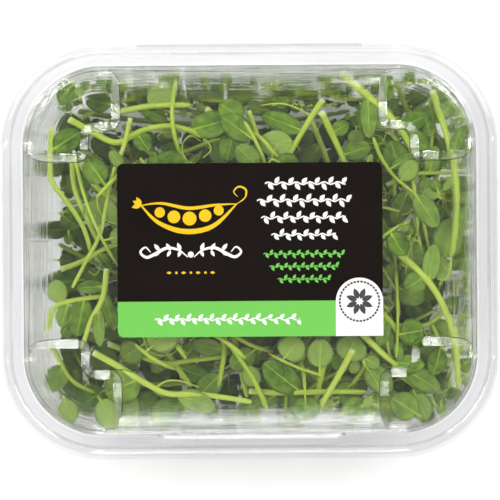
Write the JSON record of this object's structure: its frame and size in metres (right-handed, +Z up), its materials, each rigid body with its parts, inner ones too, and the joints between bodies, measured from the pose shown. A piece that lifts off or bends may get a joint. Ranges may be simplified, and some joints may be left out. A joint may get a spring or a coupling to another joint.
{
  "type": "pea shoot microgreens tray",
  "caption": "Shallow clear plastic tray with a hinged domed lid, stair-stepped stacking corners and a printed label, filled with cut pea shoots.",
  "frame": {"origin": "middle of the tray's footprint, on the surface that it stands on", "axes": "+X to the right along the long side, +Y to the back where the lid is hinged, +Z up"},
  "size_m": [0.187, 0.1568, 0.0519],
  "materials": {
    "clear_plastic": "clear, glossy",
    "label_print": "satin print",
    "pea_green": "fresh leaf, satin"
  },
  "bodies": {
    "tray_body": {"tray": "clear_plastic", "shoot_01": "pea_green", "shoot_02": "pea_green", "shoot_03": "pea_green", "shoot_04": "pea_green", "shoot_05": "pea_green", "shoot_06": "pea_green", "shoot_07": "pea_green", "shoot_08": "pea_green", "shoot_09": "pea_green", "shoot_10": "pea_green", "shoot_11": "pea_green", "shoot_12": "pea_green", "shoot_13": "pea_green", "shoot_14": "pea_green", "shoot_15": "pea_green", "shoot_16": "pea_green", "shoot_17": "pea_green", "shoot_18": "pea_green", "shoot_19": "pea_green", "shoot_20": "pea_green", "shoot_21": "pea_green", "shoot_22": "pea_green", "shoot_23": "pea_green", "shoot_24": "pea_green", "shoot_25": "pea_green", "shoot_26": "pea_green", "shoot_27": "pea_green", "shoot_28": "pea_green", "shoot_29": "pea_green", "shoot_30": "pea_green", "shoot_31": "pea_green", "shoot_32": "pea_green", "shoot_33": "pea_green", "shoot_34": "pea_green", "shoot_35": "pea_green", "shoot_36": "pea_green", "shoot_37": "pea_green", "shoot_38": "pea_green", "shoot_39": "pea_green", "shoot_40": "pea_green", "shoot_41": "pea_green", "shoot_42": "pea_green", "shoot_43": "pea_green", "shoot_44": "pea_green", "shoot_45": "pea_green", "shoot_46": "pea_green", "shoot_47": "pea_green", "shoot_48": "pea_green"},
    "lid_body": {"lid": "clear_plastic", "label": "label_print"}
  },
  "joints": [
    {"name": "lid_hinge", "type": "hinge", "parent": "tray_body", "child": "lid_body", "pos_m": [0, 0.0785, 0.03815], "axis": [-1, 0, 0], "range_deg": [0, 180]}
  ]
}
